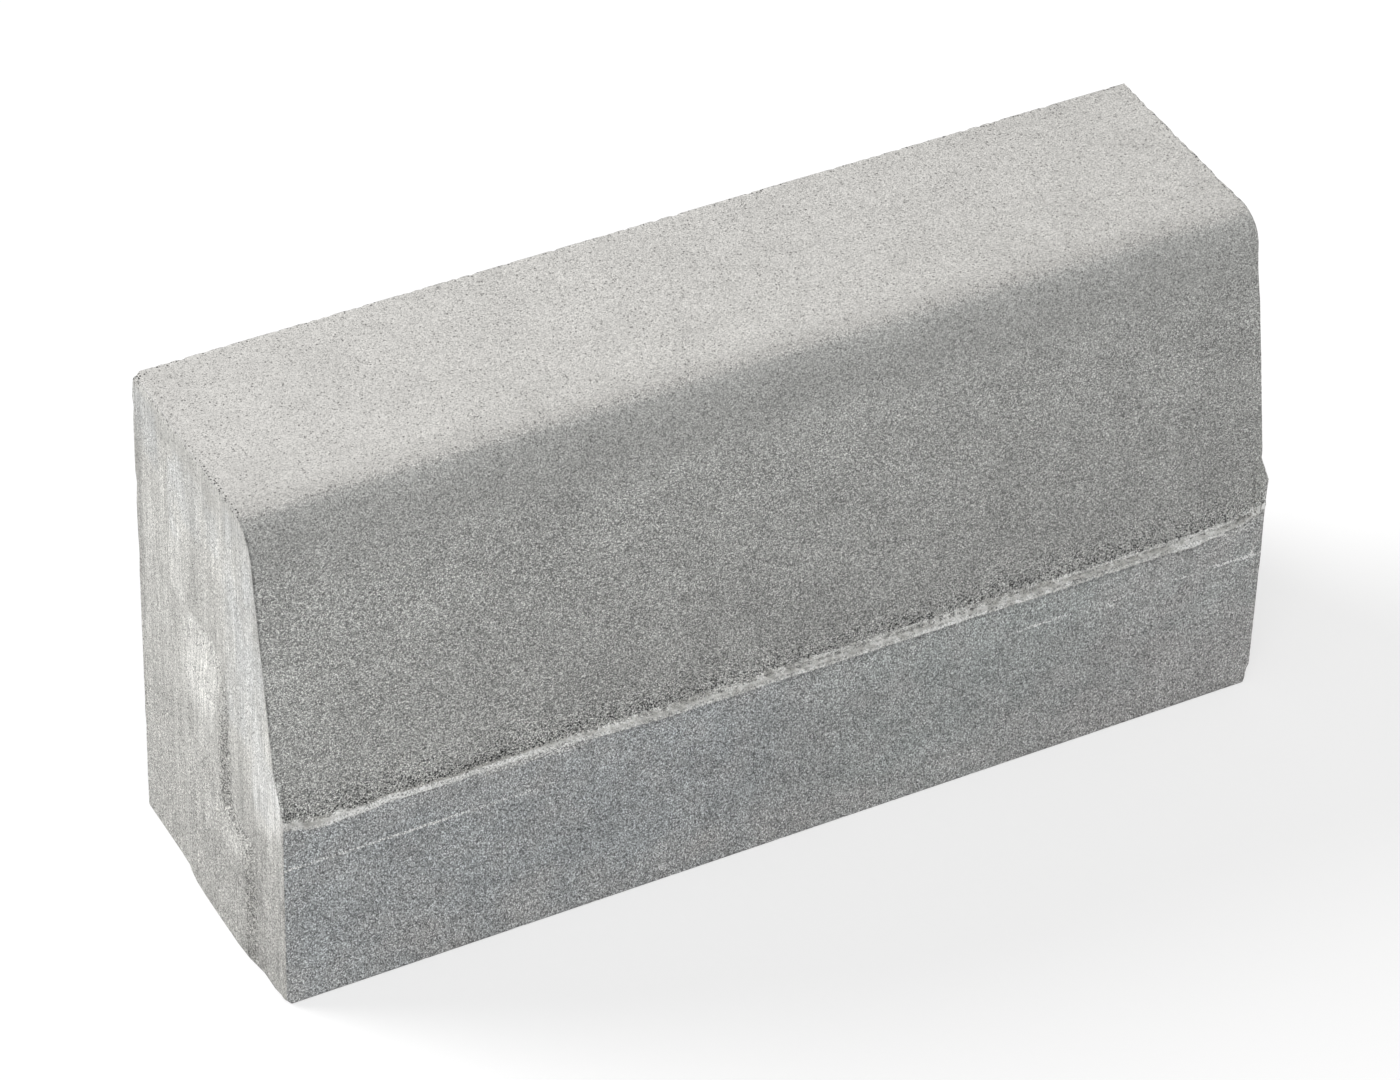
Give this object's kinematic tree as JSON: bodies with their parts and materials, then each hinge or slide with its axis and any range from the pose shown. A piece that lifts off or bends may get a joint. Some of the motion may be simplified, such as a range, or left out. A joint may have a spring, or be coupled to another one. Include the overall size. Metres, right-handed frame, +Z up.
{
  "type": "concrete kerb stone",
  "caption": "Half-battered precast concrete kerb stone with a rounded top front edge, a ledge under the battered face and spacer pads on its ends.",
  "frame": {"origin": "middle of the bed face, at the centre of the bounding box in plan", "axes": "+X along the kerb, +Y from the road side to the back, +Z up"},
  "size_m": [0.505, 0.15, 0.25],
  "materials": {
    "concrete": "vibro-pressed precast concrete, bare and fine-grained, with vertical mould marks on the sides"
  },
  "bodies": {
    "root": {"kerb_stone": "concrete"}
  },
  "joints": []
}
